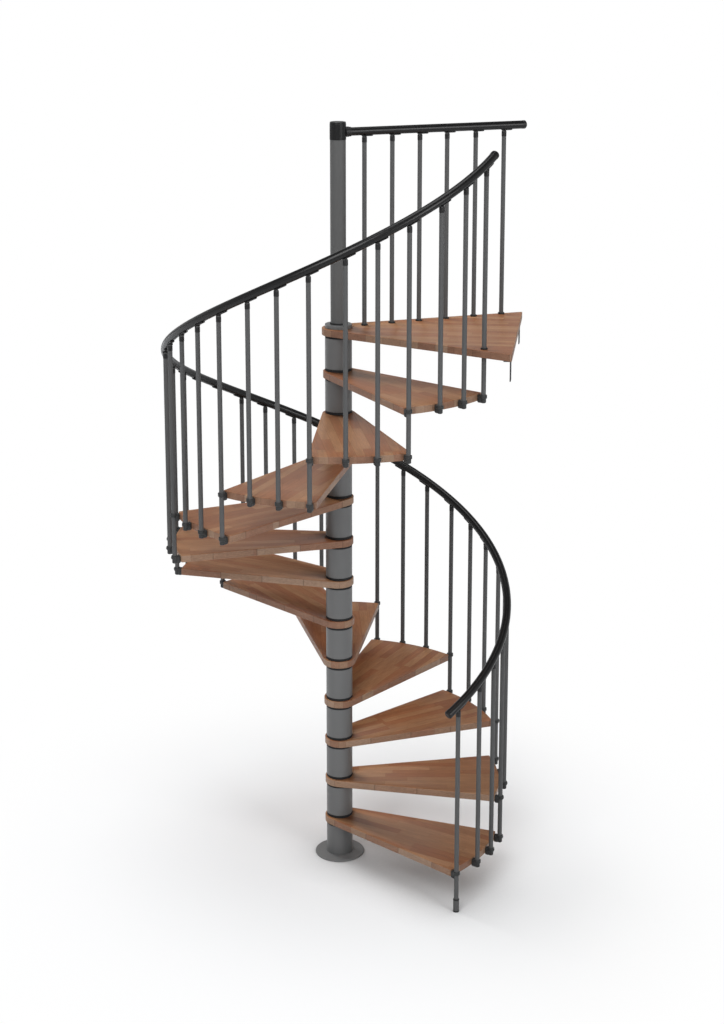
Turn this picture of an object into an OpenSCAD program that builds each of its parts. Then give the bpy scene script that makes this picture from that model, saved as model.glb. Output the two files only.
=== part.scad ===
// Spiral staircase: a column of spacer tubes, twelve wedge treads, a triangular landing and a tube railing.
// Millimetres, +Z up. Origin on the column axis at the underside of the base flange.
// The stair climbs counter-clockwise seen from above, and the landing is left towards +X.

/* [Climb] */
// Height from one tread top to the next
riser = 210; // [190:1:240]
// Turn from one tread to the next, in degrees
pitch_deg = 30.9; // [28:0.1:32]
// Direction of the first baluster, in degrees from +X
start_deg = -47; // [-60:1:-35]

/* [Treads] */
// Radius of the treads' outer edge
tread_r = 804; // [720:1:900]
// Thickness of the tread boards
tread_t = 34; // [30:1:45]
// Radius of the round end about the column
hub_r = 80; // [74:1:95]
// Distance of a tread's round end from the axis, towards the board
hub_shift = 9; // [0:1:12]
// Overhang of a tread past its front baluster, in degrees
lead_deg = 1; // [0.6:0.1:3]
// Overhang of a tread past its back baluster, in degrees
lap_deg = 1.8; // [0.6:0.1:3]

/* [Column] */
// Outside diameter of the spacer tubes
spacer_d = 130; // [116:1:145]
// Wall of the spacer tubes
spacer_wall = 4; // [2:0.5:8]
// Outside diameter of the pole and the post
pole_d = 75; // [60:1:84]
// Wall of the pole and the post
pole_wall = 4; // [2:0.5:8]
// Thickness of the black ring on each face of a tread
gasket_t = 13; // [6:1:16]
// Diameter of the base flange
flange_d = 245; // [200:1:300]
// Thickness of the base flange
flange_t = 8; // [6:1:14]

/* [Railing] */
// Diameter of the balusters
baluster_d = 22; // [18:1:26]
// Gap between the tread edge and the baluster centres
baluster_gap = 26; // [20:1:34]
// First middle baluster, in degrees past the front one
middle_1_deg = 11.1; // [9:0.1:12]
// Second middle baluster, in degrees past the front one
middle_2_deg = 20.9; // [19:0.1:22]
// Diameter of the handrail
rail_d = 40; // [34:1:50]
// Height of the handrail's middle over the front edge of a tread
rail_over_nosing = 843; // [760:1:960]
// Height of the landing rail's middle over the landing
landing_rail_h = 935; // [850:1:1100]

/* [Landing] */
// Reach of the landing's outer corners past the baluster circle
landing_reach = 164; // [120:1:240]
// Half of the angle between the landing's sides, in degrees
landing_half_deg = 30.4; // [28:0.1:31]
// Direction of the middle of the landing, in degrees past the last baluster
landing_turn_deg = 29; // [28:0.1:30]
// Gap between the post and the middle of the first landing baluster
fence_start_gap = 97.5; // [80:0.5:120]
// Gap between the middle of the last landing baluster and the landing's corner
fence_corner_gap = 123; // [60:1:140]

/* [Hidden] */
$fn = 64;
arc_sides = 256;
sides = 16;
fit = 0.2;
saddle_play = 0.8;
bore_play = 0.5;
hub_skin = 0.4;
side_r = hub_r - hub_skin;
cut = 1;
tread_count = 12;
per_tread = 3;
full_turn = 360;
right_angle = 90;

baluster_r = baluster_d / 2;
circle_r = tread_r + baluster_gap;
landing_corner_r = circle_r + landing_reach;
rail_r = rail_d / 2;
landing_z = (tread_count + 1) * riser;
last_deg = start_deg + tread_count * pitch_deg;
slope_deg = atan(riser / (circle_r * pitch_deg * PI / 180));
pole_r = pole_d / 2;
spacer_r = spacer_d / 2;

disc_t = 18;
disc_top = landing_z + disc_t;
post_top = landing_z + landing_rail_h - 35;
cap_h = 84;
cap_d = pole_d + 3;
cap_top_t = 6;

ring_d = baluster_d + 11;
ring_h = 18;
ring_drop = 3;
sleeve_d = baluster_d + 3;
sleeve_under = 4;
block_w = 28;
block_drop = 4;
block_under = 7;
block_bite = 6;
plug_top_d = baluster_d + 2;
plug_low_d = baluster_d - 4;
plug_h = 4;
foot_d = baluster_d + 6;
foot_h = 60;
foot_pad_d = baluster_d + 8;
foot_pad_t = 6;
foot_ring_h = 5;

socket_d = baluster_d + 2;
socket_h = 28;
saddle_l = 58;
saddle_back = 12;
saddle_w = 20;
saddle_t = 5;
saddle_grip = 3;
rail_lead_deg = 4;
rail_tail_deg = 4.6;
rail_rings = 112;
tip_l = 14;
tip_round = 6;

landing_deg = last_deg + landing_turn_deg;
fence_deg = landing_deg + landing_half_deg - 0.5;
rail_corner_gap = 19;
fence_count = 6;
fence_near = 4;
wide_gaps = 2;
wide_share = 1.06;
fence_first = pole_r + fence_start_gap;
fence_last = landing_corner_r - fence_corner_gap;
fence_end = landing_corner_r - rail_corner_gap;
fence_step = (fence_last - fence_first) / (fence_count - 1 - wide_gaps + wide_gaps * wide_share);
floor_ring_h = 8;
collar_l = 30;
collar_out_d = rail_d + 9;

bracket_t = 5;
bracket_w = 50;
bracket_leg = 96;
bracket_foot = 34;
bracket_in = 5;
bracket_bore = 11;
bracket_bore_in = 45;
bracket_low_in = 48;
bracket_high_in = 147;

// Direction of baluster i, counted from the foot of the stair.
function baluster_deg(i) =
  start_deg + floor(i / per_tread) * pitch_deg + [0, middle_1_deg, middle_2_deg][i % per_tread];

// Height of the handrail's middle in a direction.
function rail_z(deg) = riser + rail_over_nosing + (deg - start_deg) / pitch_deg * riser;

// Top of tread k.
function tread_z(k) = k * riser;

// Lowest point of baluster i: the first stands on the floor, the rest end under their lower tread.
function baluster_z(i) =
  i == 0 ? foot_pad_t : tread_z(max(1, ceil(i / per_tread))) - tread_t - sleeve_under;

// A point on a circle.
function polar(r, deg) = [r * cos(deg), r * sin(deg)];

module tube(outer_d, inner_d, z0, z1) {
  translate([0, 0, z0])
    difference() {
      cylinder(d = outer_d, h = z1 - z0);
      translate([0, 0, -cut]) cylinder(d = inner_d, h = z1 - z0 + 2 * cut);
    }
}

// Base: a round plate that carries the pole and the first spacer.
module base_flange() {
  color("DimGray") cylinder(d = flange_d, h = flange_t);
}

module core_pole() {
  color("DarkGray") tube(pole_d, pole_d - 2 * pole_wall, flange_t, landing_z);
}

module spacer(z0, z1) {
  tube(spacer_d, spacer_d - 2 * spacer_wall, z0, z1);
}

module base_spacer() {
  color("Gray") spacer(flange_t, tread_z(1) - tread_t - gasket_t);
}

module column_spacers() {
  color("Gray")
    for (k = [1 : tread_count])
      spacer(tread_z(k) + gasket_t, tread_z(k + 1) - tread_t - gasket_t);
}

// Black rings above and below each tread, and below the landing.
module gasket_rings() {
  color("Black") {
    for (k = [1 : tread_count]) {
      tube(spacer_d, pole_d + 2 * fit, tread_z(k), tread_z(k) + gasket_t);
      tube(spacer_d, pole_d + 2 * fit, tread_z(k) - tread_t - gasket_t, tread_z(k) - tread_t);
    }
    tube(spacer_d, pole_d + 2 * fit, landing_z - tread_t - gasket_t, landing_z - tread_t);
  }
}

// Where a board's straight side meets its round end, just inside the tangent from an outer corner.
// way is -1 for the side the climb comes from and 1 for the other.
function side_foot(hub, corner, way) =
  let (along = corner - hub, swing = acos(side_r / norm(along)))
  hub + polar(side_r, atan2(along[1], along[0]) + way * swing);

// Wedge tread: a round end a little off the axis, two straight sides and a curved outer edge.
module tread(k) {
  near_deg = start_deg + (k - 1) * pitch_deg - lead_deg;
  far_deg = start_deg + k * pitch_deg + lap_deg;
  middle_deg = (near_deg + far_deg) / 2;
  hub = polar(hub_shift, middle_deg);
  near = polar(tread_r + cut, near_deg);
  far = polar(tread_r + cut, far_deg);
  outer = polar((tread_r + cut) / cos(far_deg - middle_deg), middle_deg);
  color("Sienna")
    translate([0, 0, tread_z(k) - tread_t])
      difference() {
        union() {
          translate(hub) cylinder(r = hub_r, h = tread_t);
          intersection() {
            cylinder(r = tread_r, h = tread_t, $fn = arc_sides);
            linear_extrude(height = tread_t)
              polygon([side_foot(hub, near, -1), near, outer, far, side_foot(hub, far, 1)]);
          }
        }
        translate([0, 0, -cut]) cylinder(r = pole_r + bore_play, h = tread_t + 2 * cut);
      }
}

module tread_01() { tread(1); }
module tread_02() { tread(2); }
module tread_03() { tread(3); }
module tread_04() { tread(4); }
module tread_05() { tread(5); }
module tread_06() { tread(6); }
module tread_07() { tread(7); }
module tread_08() { tread(8); }
module tread_09() { tread(9); }
module tread_10() { tread(10); }
module tread_11() { tread(11); }
module tread_12() { tread(12); }

// Landing: two straight sides from the round end to the outer corners, and a straight outer edge.
module landing() {
  hub = [0, 0];
  near = polar(landing_corner_r, landing_deg - landing_half_deg);
  far = polar(landing_corner_r, landing_deg + landing_half_deg);
  color("Sienna")
    translate([0, 0, landing_z - tread_t])
      difference() {
        union() {
          cylinder(r = hub_r, h = tread_t);
          linear_extrude(height = tread_t)
            polygon([side_foot(hub, near, -1), near, far, side_foot(hub, far, 1)]);
        }
        translate([0, 0, -cut]) cylinder(r = pole_r + bore_play, h = tread_t + 2 * cut);
        rotate([0, 0, last_deg])
          translate([circle_r, 0, -cut]) cylinder(r = baluster_r + bore_play, h = tread_t + 2 * cut);
      }
}

module landing_disc() {
  color("Gray")
    difference() {
      translate([0, 0, landing_z]) cylinder(d = spacer_d, h = disc_t);
      translate([0, 0, landing_z - cut]) cylinder(d = pole_d - 2 * pole_wall, h = disc_t + 2 * cut);
    }
}

module landing_post() {
  color("Gray") tube(pole_d, pole_d - 2 * pole_wall, disc_top, post_top);
}

// Cap over the post: a skirt above the post's end, a flat top and a bore that takes the landing rail.
module post_cap() {
  color("Black")
    difference() {
      translate([0, 0, post_top]) cylinder(d = cap_d, h = cap_h);
      translate([0, 0, post_top - cut]) cylinder(d = pole_d - 2 * pole_wall, h = cap_h - cap_top_t + cut);
      rotate([0, 0, fence_deg])
        translate([0, 0, landing_z + landing_rail_h])
          rotate([0, right_angle, 0]) cylinder(r = rail_r + fit, h = cap_d);
    }
}

module baluster(i) {
  rotate([0, 0, baluster_deg(i)])
    translate([circle_r, 0, baluster_z(i)])
      cylinder(d = baluster_d, h = baluster_top(i) - baluster_z(i));
}

// Top of baluster i, inside its socket under the handrail.
function baluster_top(i) =
  rail_z(baluster_deg(i)) - rail_r / cos(slope_deg) - saddle_t;

module balusters(k) {
  color("SlateGray")
    for (i = [per_tread * (k - 1) : per_tread * k - 1])
      baluster(i);
}

module balusters_01() { balusters(1); }
module balusters_02() { balusters(2); }
module balusters_03() { balusters(3); }
module balusters_04() { balusters(4); }
module balusters_05() { balusters(5); }
module balusters_06() { balusters(6); }
module balusters_07() { balusters(7); }
module balusters_08() { balusters(8); }
module balusters_09() { balusters(9); }
module balusters_10() { balusters(10); }
module balusters_11() { balusters(11); }
module balusters_12() { balusters(12); }

module landing_corner_baluster() {
  color("SlateGray") baluster(per_tread * tread_count);
}

// Foot of the first baluster: a pad on the floor and a sleeve.
module baluster_foot() {
  color("SlateGray")
    rotate([0, 0, start_deg])
      translate([circle_r, 0, 0])
        difference() {
          union() {
            cylinder(d = foot_pad_d, h = foot_pad_t);
            cylinder(d = foot_d, h = foot_h);
          }
          translate([0, 0, foot_pad_t]) cylinder(r = baluster_r + fit, h = foot_h);
        }
}

// Clamp on the edge of a tread whose top is at z: a ring round the baluster and a block on the edge, rounded
// below. Where the baluster ends, a sleeve carries on down from the ring to its end.
module clamp(deg, z, at_end) {
  low = z - tread_t - block_under;
  sleeve_low = z - tread_t - sleeve_under;
  high = z - block_drop;
  ring_low = z - ring_drop - ring_h;
  block_l = baluster_gap + block_bite;
  rotate([0, 0, deg])
    difference() {
      union() {
        translate([circle_r, 0, ring_low]) cylinder(d = ring_d, h = ring_h);
        if (at_end)
          translate([circle_r, 0, sleeve_low]) cylinder(d = sleeve_d, h = ring_low - sleeve_low + cut);
        translate([circle_r - block_l, -block_w / 2, low + block_w / 2])
          cube([block_l, block_w, high - low - block_w / 2]);
        translate([circle_r - block_l, 0, low + block_w / 2])
          rotate([0, right_angle, 0]) cylinder(d = block_w, h = block_l);
      }
      translate([circle_r, 0, low - cut]) cylinder(r = baluster_r + fit, h = high - low + ring_h);
      translate([0, 0, low - cut]) cylinder(r = tread_r + fit, h = high - low + 2 * cut, $fn = arc_sides);
    }
}

module baluster_clamps() {
  color("Black")
    for (k = [1 : tread_count])
      for (i = [per_tread * (k - 1) : per_tread * k])
        clamp(baluster_deg(i), tread_z(k), i > per_tread * (k - 1));
}

// Plugs that close the lower ends of the balusters.
module baluster_plugs() {
  color("Black")
    for (i = [1 : per_tread * tread_count])
      rotate([0, 0, baluster_deg(i)])
        translate([circle_r, 0, baluster_z(i) - plug_h])
          cylinder(d1 = plug_low_d, d2 = plug_top_d, h = plug_h);
}

// Rings on the landing about its balusters, and on top of the first baluster's foot.
module floor_rings() {
  color("Black") {
    rotate([0, 0, start_deg])
      translate([circle_r, 0, 0])
        tube(foot_pad_d, baluster_d + 2 * fit, foot_h, foot_h + foot_ring_h);
    rotate([0, 0, last_deg])
      translate([circle_r, 0, 0])
        tube(ring_d, baluster_d + 2 * fit, landing_z, landing_z + floor_ring_h);
    for (j = [0 : fence_count - 1])
      rotate([0, 0, fence_deg])
        translate([fence_x(j), 0, 0])
          tube(ring_d, baluster_d + 2 * fit, landing_z, landing_z + floor_ring_h);
  }
}

// Distance of landing baluster j from the axis.
function fence_x(j) =
  fence_first + fence_step * (j + max(0, j - fence_count + 1 + wide_gaps) * (wide_share - 1));

// Socket and saddle under a rail: +Y runs uphill, the rail's middle is at the origin.
module saddle(tilt_deg) {
  drop = rail_r / cos(tilt_deg) + saddle_t;
  difference() {
    union() {
      translate([0, 0, -drop - socket_h]) cylinder(d = socket_d, h = drop + socket_h);
      rotate([tilt_deg, 0, 0])
        translate([-saddle_w / 2, -saddle_back, -rail_r - saddle_t])
          cube([saddle_w, saddle_l, saddle_t + saddle_grip]);
    }
    translate([0, 0, -drop - socket_h - cut]) cylinder(r = baluster_r + fit, h = socket_h + cut);
    rotate([tilt_deg - right_angle, 0, 0])
      translate([0, 0, -saddle_l]) cylinder(r = rail_r + saddle_play, h = 2 * saddle_l);
  }
}

module rail_saddles() {
  color("Black")
    for (i = [0 : per_tread * tread_count])
      rotate([0, 0, baluster_deg(i)])
        translate([circle_r, 0, rail_z(baluster_deg(i))]) saddle(slope_deg);
}

// Helical handrail: a ring of points about the centre line at each station, joined into a closed tube.
rail_from = start_deg - rail_lead_deg;
rail_to = last_deg + rail_tail_deg;
function station_deg(j) = rail_from + (rail_to - rail_from) * j / rail_rings;
function ring_point(deg, turn) = [
  circle_r * cos(deg) + rail_r * (cos(turn) * cos(deg) + sin(turn) * sin(slope_deg) * sin(deg)),
  circle_r * sin(deg) + rail_r * (cos(turn) * sin(deg) - sin(turn) * sin(slope_deg) * cos(deg)),
  rail_z(deg) + rail_r * sin(turn) * cos(slope_deg)
];

module handrail() {
  points = [
    for (j = [0 : rail_rings])
      for (s = [0 : sides - 1]) ring_point(station_deg(j), s * full_turn / sides)
  ];
  walls = [
    for (j = [0 : rail_rings - 1])
      for (s = [0 : sides - 1])
        for (half = [0, 1])
          let (a = j * sides + s, b = j * sides + (s + 1) % sides)
          half == 0 ? [a, a + sides, b] : [b, a + sides, b + sides]
  ];
  ends = [
    [for (s = [0 : sides - 1]) s],
    [for (s = [sides - 1 : -1 : 0]) rail_rings * sides + s]
  ];
  color("Black") polyhedron(points = points, faces = concat(walls, ends));
}

// Tip that closes a rail: +Z points out of the rail's end.
module tip() {
  cylinder(r = rail_r, h = tip_l - tip_round);
  translate([0, 0, tip_l - tip_round]) cylinder(r1 = rail_r, r2 = rail_r - tip_round, h = tip_round);
}

module handrail_tips() {
  color("Black") {
    rotate([0, 0, rail_from])
      translate([circle_r, 0, rail_z(rail_from)]) rotate([right_angle + slope_deg, 0, 0]) tip();
    rotate([0, 0, rail_to])
      translate([circle_r, 0, rail_z(rail_to)]) rotate([slope_deg - right_angle, 0, 0]) tip();
  }
}

module landing_balusters() {
  color("SlateGray")
    for (j = [0 : fence_count - 1])
      rotate([0, 0, fence_deg])
        translate([fence_x(j), 0, landing_z])
          cylinder(d = baluster_d, h = landing_rail_h - rail_r - saddle_t);
}

module landing_rail() {
  color("Black")
    rotate([0, 0, fence_deg])
      translate([fence_near, 0, landing_z + landing_rail_h])
        rotate([0, right_angle, 0]) cylinder(r = rail_r, h = fence_end - fence_near);
}

// Collar at the post, saddles and the end tip of the landing rail.
module landing_rail_fittings() {
  color("Black")
    rotate([0, 0, fence_deg])
      translate([0, 0, landing_z + landing_rail_h]) {
        difference() {
          rotate([0, right_angle, 0]) cylinder(d = collar_out_d, h = cap_d / 2 + collar_l);
          rotate([0, right_angle, 0]) cylinder(r = rail_r + fit, h = cap_d + collar_l);
          translate([0, 0, -cap_d]) cylinder(r = cap_d / 2 + fit, h = 2 * cap_d);
        }
        for (j = [0 : fence_count - 1])
          translate([fence_x(j), 0, 0]) rotate([0, 0, -right_angle]) saddle(0);
        translate([fence_end, 0, 0]) rotate([0, right_angle, 0]) tip();
      }
}

// Angle bracket under the landing's outer edge: a leg under the board and a leg down the floor's edge.
module bracket() {
  difference() {
    union() {
      translate([-bracket_foot, -bracket_w / 2, -bracket_t]) cube([bracket_foot, bracket_w, bracket_t]);
      translate([-bracket_t, -bracket_w / 2, -bracket_leg]) cube([bracket_t, bracket_w, bracket_leg]);
    }
    translate([-bracket_t - cut, 0, -bracket_leg + bracket_bore_in])
      rotate([0, right_angle, 0]) cylinder(d = bracket_bore, h = bracket_t + 2 * cut);
    translate([-(bracket_foot + bracket_t) / 2, 0, -bracket_t - cut])
      cylinder(d = bracket_bore, h = bracket_t + 2 * cut);
  }
}

module fixing_brackets() {
  edge_x = landing_corner_r * cos(landing_half_deg) - bracket_in;
  edge_y = landing_corner_r * sin(landing_half_deg);
  color("Black")
    rotate([0, 0, landing_deg])
      for (y = [bracket_low_in - edge_y, edge_y - bracket_high_in])
        translate([edge_x, y, landing_z - tread_t]) bracket();
}

base_flange();
core_pole();
base_spacer();
column_spacers();
gasket_rings();
tread_01();
tread_02();
tread_03();
tread_04();
tread_05();
tread_06();
tread_07();
tread_08();
tread_09();
tread_10();
tread_11();
tread_12();
landing();
landing_disc();
landing_post();
post_cap();
balusters_01();
balusters_02();
balusters_03();
balusters_04();
balusters_05();
balusters_06();
balusters_07();
balusters_08();
balusters_09();
balusters_10();
balusters_11();
balusters_12();
landing_corner_baluster();
baluster_foot();
baluster_clamps();
baluster_plugs();
floor_rings();
rail_saddles();
handrail();
handrail_tips();
landing_balusters();
landing_rail();
landing_rail_fittings();
fixing_brackets();
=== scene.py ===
import math

import bpy
import numpy as np
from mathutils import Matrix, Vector


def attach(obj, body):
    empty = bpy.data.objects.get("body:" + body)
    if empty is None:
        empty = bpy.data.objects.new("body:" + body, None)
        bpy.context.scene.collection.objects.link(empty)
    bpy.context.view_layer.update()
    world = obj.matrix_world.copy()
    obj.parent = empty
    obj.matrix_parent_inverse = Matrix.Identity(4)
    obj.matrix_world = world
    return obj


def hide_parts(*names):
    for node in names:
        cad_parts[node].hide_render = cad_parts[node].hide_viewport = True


# Spiral staircase: varnished wooden treads on a grey steel column, tube balusters and a black
# helical handrail. Metres, +Z up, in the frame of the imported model. Every new piece is a surface
# worked out on a grid of points.

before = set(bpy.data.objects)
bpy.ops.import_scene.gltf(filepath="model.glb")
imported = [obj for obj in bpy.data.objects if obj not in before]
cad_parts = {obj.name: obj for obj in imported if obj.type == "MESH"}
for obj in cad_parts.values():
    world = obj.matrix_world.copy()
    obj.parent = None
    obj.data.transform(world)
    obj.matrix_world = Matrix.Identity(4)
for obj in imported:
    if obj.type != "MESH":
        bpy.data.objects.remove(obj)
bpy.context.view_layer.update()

TURN = 2 * math.pi
rad = math.radians

# ---- Sizes ------------------------------------------------------------------------------------
# The climb
RISER = 0.210  # from the top of one tread to the top of the next
PITCH = rad(30.9)  # turn from one tread to the next
START = rad(-47.0)  # direction of the first baluster
TREADS = 12
PER_TREAD = 3  # balusters on each tread, counted with the first of its two corner ones
MIDDLE_TURNS = (0.0, rad(11.1), rad(20.9))  # turn from a tread's first baluster to each of them
LAST = START + TREADS * PITCH  # direction of the landing's corner baluster
LANDING_Z = (TREADS + 1) * RISER

# Boards
TREAD_R = 0.804
TREAD_T = 0.034
HUB_R = 0.080  # round end about the column
HUB_SHIFT = 0.009  # its middle lies this far from the axis, towards the tread
LEAD = rad(1.0)  # a tread starts this far before its first baluster
LAP = rad(1.8)  # and ends this far past its last one
BORE_R = 0.038  # bore for the pole, in boards and rings
BOARD_EDGE = 0.0022  # rounding along the edges of both faces
BOARD_CORNER = 0.007  # rounding of the two outer corners, seen from above
LANDING_R = 0.994  # from the axis to the landing's outer corners
LANDING_MID = LAST + rad(29.0)  # direction of the landing's middle line
LANDING_HALF = rad(30.4)  # turn from it to either corner
HUB_POINTS = 37  # outline points round the hub, along the outer edge and along a side
EDGE_POINTS = 41
SIDE_POINTS = 15

# Staves of the boards
STAVE_W = 0.042
BLOCK_L = 0.36  # between the finger joints of a stave
SEAM_W = 0.0006
BOARD_ALONG = 1.37  # from one board to the next, the wood is taken this much further along
BOARD_ACROSS = 3.013  # and this much further across
FIRST_ACROSS = 0.011  # and for all boards this much more

# Column
SPACER_R = 0.065
SPACER_WALL = 0.004
POLE_R = 0.0375
POLE_WALL = 0.004
GASKET_T = 0.013
GASKET_IN = 0.0002  # the rubber rings lie this far inside the tubes' radius
GASKET_EDGE = 0.0014
GASKET_GROOVE = 0.0012  # depth of the groove round a gasket's middle, and half its width
FLANGE_R = 0.1225
FLANGE_T = 0.008
DISC_T = 0.018
SEAT_H = 0.007  # soft ring about the post's foot
SEAT_WALL = 0.0028
POST_TOP = LANDING_Z + 0.900
CAP_R = 0.039
CAP_H = 0.084
CAP_LINE = 0.010  # from the cap's top down to the line round it
CAP_STEP = 0.0008  # how far the cap is drawn in above that line
CAP_DISH = 0.0012  # depth of the dish in its top

# Railing
CIRCLE_R = 0.830  # balusters stand on this circle
BALUSTER_R = 0.011
RAIL_R = 0.020
RAIL_RISE = RISER + 0.843  # height of the handrail's middle at the first baluster
SLOPE = math.atan(RISER / (CIRCLE_R * PITCH))  # of the handrail
RAIL_LEAD = rad(4.0)  # the handrail starts this far before its first baluster
RAIL_TAIL = rad(4.6)  # and ends this far past its last one
RAIL_STEPS = 521
RAIL_SIDES = 40
RAIL_SKIN = 0.0003  # the rail's surface lies this far inside its nominal radius
TIP_L = 0.014
SADDLE_T = 0.005
SADDLE_AHEAD = 0.040
SADDLE_BEHIND = 0.012
SADDLE_SPREAD = 0.48  # half angle of the saddle about the rail's middle
SADDLE_STEPS = 14
SADDLE_END = 0.82  # thickness of its two ends, as a share
SOCKET_R = 0.012
SOCKET_H = 0.028
PIN_R = 0.0042
PIN_HALF = 0.0135
PIN_LIFT = 0.001  # the pin's middle above the saddle's lower face

# Clamps on the treads' edges
RING_R = 0.0165
RING_H = 0.018
RING_DROP = 0.003  # the ring's top below the board's top
SLEEVE_R = 0.0125
SLEEVE_UNDER = 0.004  # balusters and their sleeves end this far below the board
BLOCK_HALF = 0.0138  # half its width along the board's edge
BLOCK_SUNK = 0.0008  # how far it is let into the board's edge
BLOCK_SHORT = 0.004  # it ends this far short of the baluster's middle, within the ring
BLOCK_DROP = 0.004  # the block's top below the board's top
BLOCK_UNDER = 0.007  # the block's lower end below the board
BLOCK_CORNER = 0.006  # rounding of the block seen from above
BLOCK_DOME = 0.0065  # rounding of its upper and lower ends
SCREW_R = 0.0042
SCREW_H = 0.0024
SCREW_DROP = 0.012  # the screw's middle below the board's top
PLUG_H = 0.004  # how far a plug stands out below its tube
PLUG_R = 0.0118

# Feet of the balusters
FOOT_R = 0.014
FOOT_H = 0.060
FOOT_PAD_R = 0.015
FOOT_PAD_T = 0.006
FOOT_RING_H = 0.005
FOOT_SIDES = 40
FLOOR_RING_H = 0.008

# Landing rail
FENCE = LANDING_MID + LANDING_HALF - rad(0.5)  # direction in which it runs
FENCE_Z = LANDING_Z + 0.935
FENCE_FIRST = 0.135  # distance of its first and last baluster from the axis
FENCE_LAST = 0.871
FENCE_EVEN = 3  # even steps between its balusters,
FENCE_BROAD = 2  # and broad ones after them,
FENCE_WIDE = 1.06  # which are this many times as wide
FENCE_COUNT = FENCE_EVEN + FENCE_BROAD + 1
FENCE_START = POLE_R * 0.6  # the rail starts inside the post,
FENCE_END = 0.975  # and ends here, in its cap
COLLAR_R = 0.0245
COLLAR_L = 0.030
COLLAR_SUNK = 0.004  # how far the collar is let into the cap
COLLAR_STEP = 0.0018  # how much slimmer its outer end is

# Edges and roundness
EDGE_FINE = 0.0005  # hidden and small edges
EDGE_CUT = 0.0008  # cut steel
EDGE_BAR = 0.001  # ends of bars
EDGE_SOFT = 0.0022  # outer edges that catch the light
EDGE_MOULD = 0.0006  # moulded plastic
CORE = 0.5  # a bar's or a plate's end face is a ring down to this share of its radius, then strips
TUBE_SIDES = 96
SMALL_SIDES = 28


# ---- Points and directions --------------------------------------------------------------------
def polar(r, a):
    """Points at distance r from the column's axis in direction a."""
    return np.stack([r * np.cos(a), r * np.sin(a)], -1)


def tread_z(k):
    """Top of tread k."""
    return k * RISER


def rail_z(a):
    """Height of the handrail's middle in direction a: it rises one riser in each pitch."""
    return RAIL_RISE + (a - START) / PITCH * RISER


def saddle_z(a):
    """Lower face of the saddle in direction a, which is where the baluster ends."""
    return rail_z(a) - RAIL_R / math.cos(SLOPE) - SADDLE_T


def baluster_turn(i):
    """Direction of baluster i, counted from the foot of the stair."""
    return START + (i // PER_TREAD) * PITCH + MIDDLE_TURNS[i % PER_TREAD]


def baluster_foot_z(i):
    """Lower end of baluster i. The first stands on its pad, and each other one ends under the lowest
    tread it is clamped to, which is i / 3 rounded up."""
    if i == 0:
        return FOOT_PAD_T
    return tread_z(math.ceil(i / PER_TREAD)) - TREAD_T - SLEEVE_UNDER


def fence_x(j):
    """Distance of landing baluster j from the axis: even steps, then broad ones."""
    step = (FENCE_LAST - FENCE_FIRST) / (FENCE_EVEN + FENCE_BROAD * FENCE_WIDE)
    return FENCE_FIRST + step * (min(j, FENCE_EVEN) + max(0, j - FENCE_EVEN) * FENCE_WIDE)


def rounded(corners, steps=3, closed=False):
    """A chain of points through (x, y, rounding) corners. A corner with a rounding gives way to an
    arc that touches both of its edges, and one more point on each edge, half a radius past the arc,
    keeps the flats flat under smooth shading."""
    corners = np.asarray(corners, float)
    places, radii = corners[:, :2], corners[:, 2]
    share = np.linspace(0, 1, steps + 1)[:, None]
    chain = []
    for i, (here, r) in enumerate(zip(places, radii)):
        at_end = not closed and i in (0, len(places) - 1)
        if r == 0 or at_end:
            chain.append(here[None])
            continue
        back = places[i - 1] - here
        ahead = places[(i + 1) % len(places)] - here
        back, ahead = back / np.linalg.norm(back), ahead / np.linalg.norm(ahead)
        half = math.acos(np.clip(back @ ahead, -1, 1)) / 2
        reach = r / math.tan(half)
        middle = here + (back + ahead) / np.linalg.norm(back + ahead) * (r / math.sin(half))
        sweep = math.pi - 2 * half
        first, last = here + back * reach - middle, here + ahead * reach - middle
        arc = (np.sin((1 - share) * sweep) * first + np.sin(share * sweep) * last) / math.sin(sweep)
        margin = reach + r / 2
        chain += [(here + back * margin)[None], middle + arc, (here + ahead * margin)[None]]
    return np.concatenate(chain)


# ---- Surfaces: (points, quads), with quads that run anticlockwise seen from outside ------------
def wrapped(grid, loop=False):
    """Quads over a grid [ring, side, xyz] whose sides close into rings. With loop the last ring
    meets the first; otherwise strips across the two end rings close them."""
    rings, sides = grid.shape[:2]
    ring = np.arange(rings if loop else rings - 1)[:, None] * sides
    side = np.arange(sides)[None]
    above, beside = (ring + sides) % (rings * sides), (side + 1) % sides
    quads = [np.stack([ring + side, ring + beside, above + beside, above + side], -1).reshape(-1, 4)]
    if not loop:
        i = np.arange(sides // 2 - 1)
        strips = np.stack([i, i + 1, sides - 2 - i, sides - 1 - i], -1)
        quads += [strips[:, ::-1], strips + (rings - 1) * sides]
    return grid.reshape(-1, 3), np.concatenate(quads)


def turned(profile, sides=32, loop=False):
    """A profile of (radius, height) points turned round the z axis: x = r cos a, y = r sin a.
    Profiles run up the outside and, with loop, on down through the bore."""
    a = np.arange(sides) * (TURN / sides)
    r, z = profile[:, :1], profile[:, 1:]
    return wrapped(np.stack([r * np.cos(a), r * np.sin(a), z + 0 * a], -1), loop)


def layered(rings):
    """Grid of flat outlines laid one above the other, each given as (outline, height)."""
    return np.stack([np.column_stack([flat, np.full(len(flat), z)]) for flat, z in rings])


def moved(shape, angle=0.0, out=0.0, z=0.0):
    """A shape turned about z and set down at distance out from the axis in that direction, at
    height z."""
    points, quads = shape
    c, s = math.cos(angle), math.sin(angle)
    x, y = points[:, 0] + out, points[:, 1]
    return np.stack([c * x - s * y, s * x + c * y, points[:, 2] + z], -1), quads


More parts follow.
